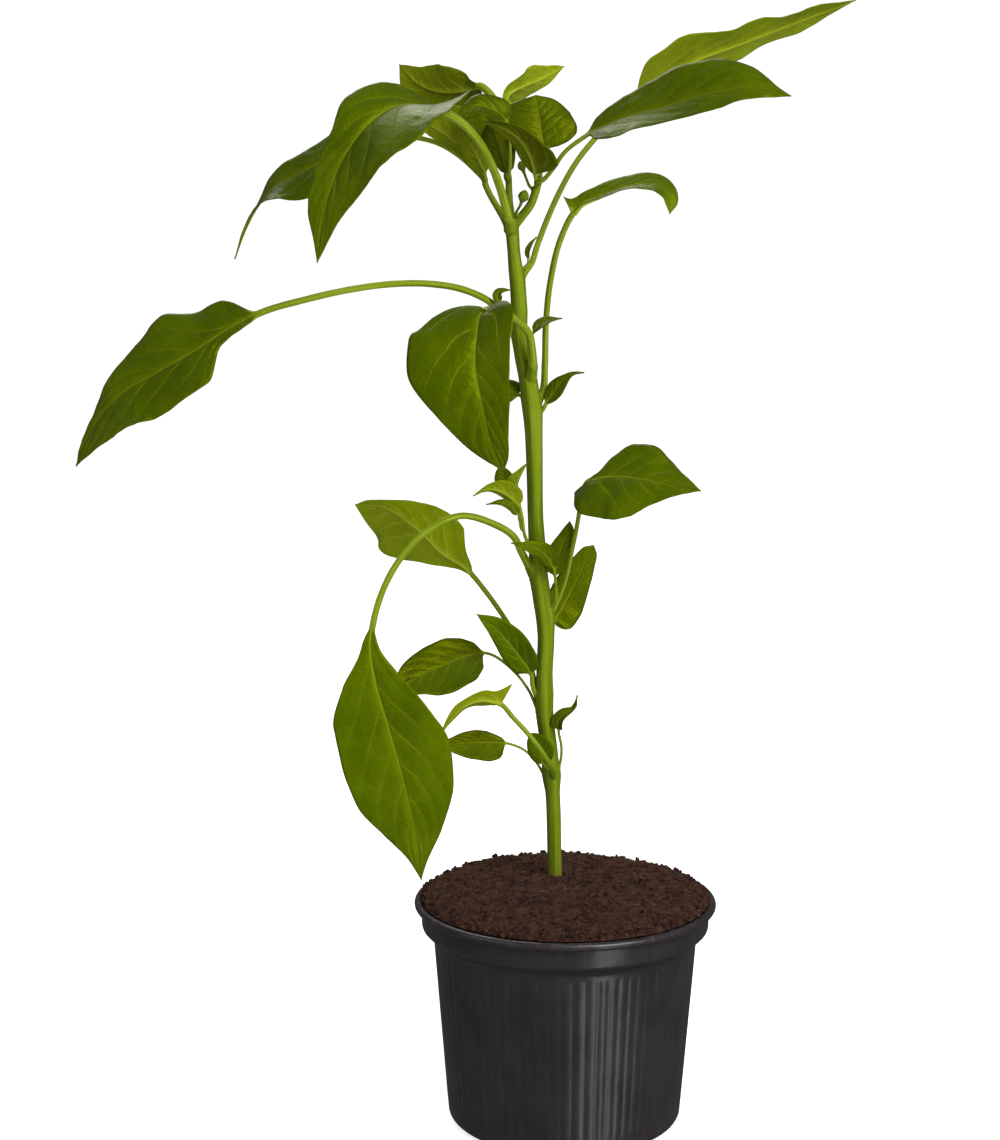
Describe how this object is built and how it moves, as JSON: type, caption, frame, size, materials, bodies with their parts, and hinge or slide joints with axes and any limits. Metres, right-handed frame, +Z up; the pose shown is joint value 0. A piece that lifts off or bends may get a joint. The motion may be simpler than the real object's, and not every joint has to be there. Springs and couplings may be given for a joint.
{
  "type": "potted sweet pepper plant",
  "caption": "Young sweet pepper plant standing in a round black nursery pot of compost, with glossy drooping leaves on long arched stalks.",
  "frame": {"origin": "centre of the pot's base, on the surface that the pot stands on", "axes": "+Z up along the pot's axis; +X along the plant's widest spread, to the right when the plant is seen from its front; +Y from the front to the back"},
  "size_m": [0.2984, 0.139, 0.4449],
  "materials": {
    "pot_plastic": "satin charcoal black moulded plastic with fine upright flutes",
    "potting_soil": "moist dark red-brown fibrous peat compost, matt and crumbly",
    "stem_skin": "yellow-green ridged stem, satin",
    "leaf_01_skin": "green leaf with paler veins, glossy above and duller below",
    "leaf_02_skin": "green leaf with paler veins, glossy above and duller below",
    "leaf_03_skin": "green leaf with paler veins, glossy above and duller below",
    "leaf_04_skin": "green leaf with paler veins, glossy above and duller below",
    "leaf_05_skin": "green leaf with paler veins, glossy above and duller below",
    "leaf_06_skin": "young leaf, light green, satin with fine veins",
    "leaf_07_skin": "young leaf, light green, satin with fine veins",
    "leaf_08_skin": "green leaf with paler veins, glossy above and duller below",
    "leaf_09_skin": "green leaf with paler veins, glossy above and duller below",
    "leaf_10_skin": "young leaf, light green, satin with fine veins",
    "leaf_11_skin": "young leaf, light green, satin with fine veins",
    "leaf_12_skin": "young leaf, light green, satin with fine veins",
    "leaf_13_skin": "young leaf, light green, satin with fine veins",
    "leaf_14_skin": "young leaf, light green, satin with fine veins",
    "leaf_15_skin": "green leaf with paler veins, glossy above and duller below",
    "leaf_16_skin": "young leaf, light green, satin with fine veins",
    "leaf_17_skin": "young leaf, light green, satin with fine veins",
    "leaf_18_skin": "green leaf with paler veins, glossy above and duller below",
    "leaf_19_skin": "green leaf with paler veins, glossy above and duller below",
    "leaf_20_skin": "green leaf with paler veins, glossy above and duller below",
    "leaf_21_skin": "green leaf with paler veins, glossy above and duller below",
    "leaf_22_skin": "green leaf with paler veins, glossy above and duller below",
    "leaf_23_skin": "green leaf with paler veins, glossy above and duller below",
    "leaf_24_skin": "green leaf with paler veins, glossy above and duller below",
    "leaf_25_skin": "green leaf with paler veins, glossy above and duller below",
    "leaf_26_skin": "young leaf, light green, satin with fine veins",
    "leaf_27_skin": "green leaf with paler veins, glossy above and duller below",
    "leaf_28_skin": "green leaf with paler veins, glossy above and duller below",
    "leaf_29_skin": "young leaf, light green, satin with fine veins",
    "leaf_30_skin": "young leaf, light green, satin with fine veins",
    "leaf_31_skin": "young leaf, light green, satin with fine veins",
    "leaf_32_skin": "young leaf, light green, satin with fine veins",
    "leaf_33_skin": "young leaf, light green, satin with fine veins",
    "leaf_34_skin": "young leaf, light green, satin with fine veins",
    "leaf_35_skin": "young leaf, light green, satin with fine veins",
    "leaf_36_skin": "young leaf, light green, satin with fine veins",
    "flower_bud_1_skin": "green closed flower bud, satin",
    "flower_bud_2_skin": "green closed flower bud, satin"
  },
  "bodies": {
    "root": {"pot": "pot_plastic", "soil": "potting_soil", "main_stem": "stem_skin", "leaf_01": "leaf_01_skin", "leaf_02": "leaf_02_skin", "leaf_03": "leaf_03_skin", "leaf_04": "leaf_04_skin", "leaf_05": "leaf_05_skin", "leaf_06": "leaf_06_skin", "leaf_07": "leaf_07_skin", "leaf_08": "leaf_08_skin", "leaf_09": "leaf_09_skin", "leaf_10": "leaf_10_skin", "leaf_11": "leaf_11_skin", "leaf_12": "leaf_12_skin", "leaf_13": "leaf_13_skin", "leaf_14": "leaf_14_skin", "leaf_15": "leaf_15_skin", "leaf_16": "leaf_16_skin", "leaf_17": "leaf_17_skin", "leaf_18": "leaf_18_skin", "leaf_19": "leaf_19_skin", "leaf_20": "leaf_20_skin", "leaf_21": "leaf_21_skin", "leaf_22": "leaf_22_skin", "leaf_23": "leaf_23_skin", "leaf_24": "leaf_24_skin", "leaf_25": "leaf_25_skin", "leaf_26": "leaf_26_skin", "leaf_27": "leaf_27_skin", "leaf_28": "leaf_28_skin", "leaf_29": "leaf_29_skin", "leaf_30": "leaf_30_skin", "leaf_31": "leaf_31_skin", "leaf_32": "leaf_32_skin", "leaf_33": "leaf_33_skin", "leaf_34": "leaf_34_skin", "leaf_35": "leaf_35_skin", "leaf_36": "leaf_36_skin", "flower_bud_1": "flower_bud_1_skin", "flower_bud_2": "flower_bud_2_skin"}
  },
  "joints": []
}
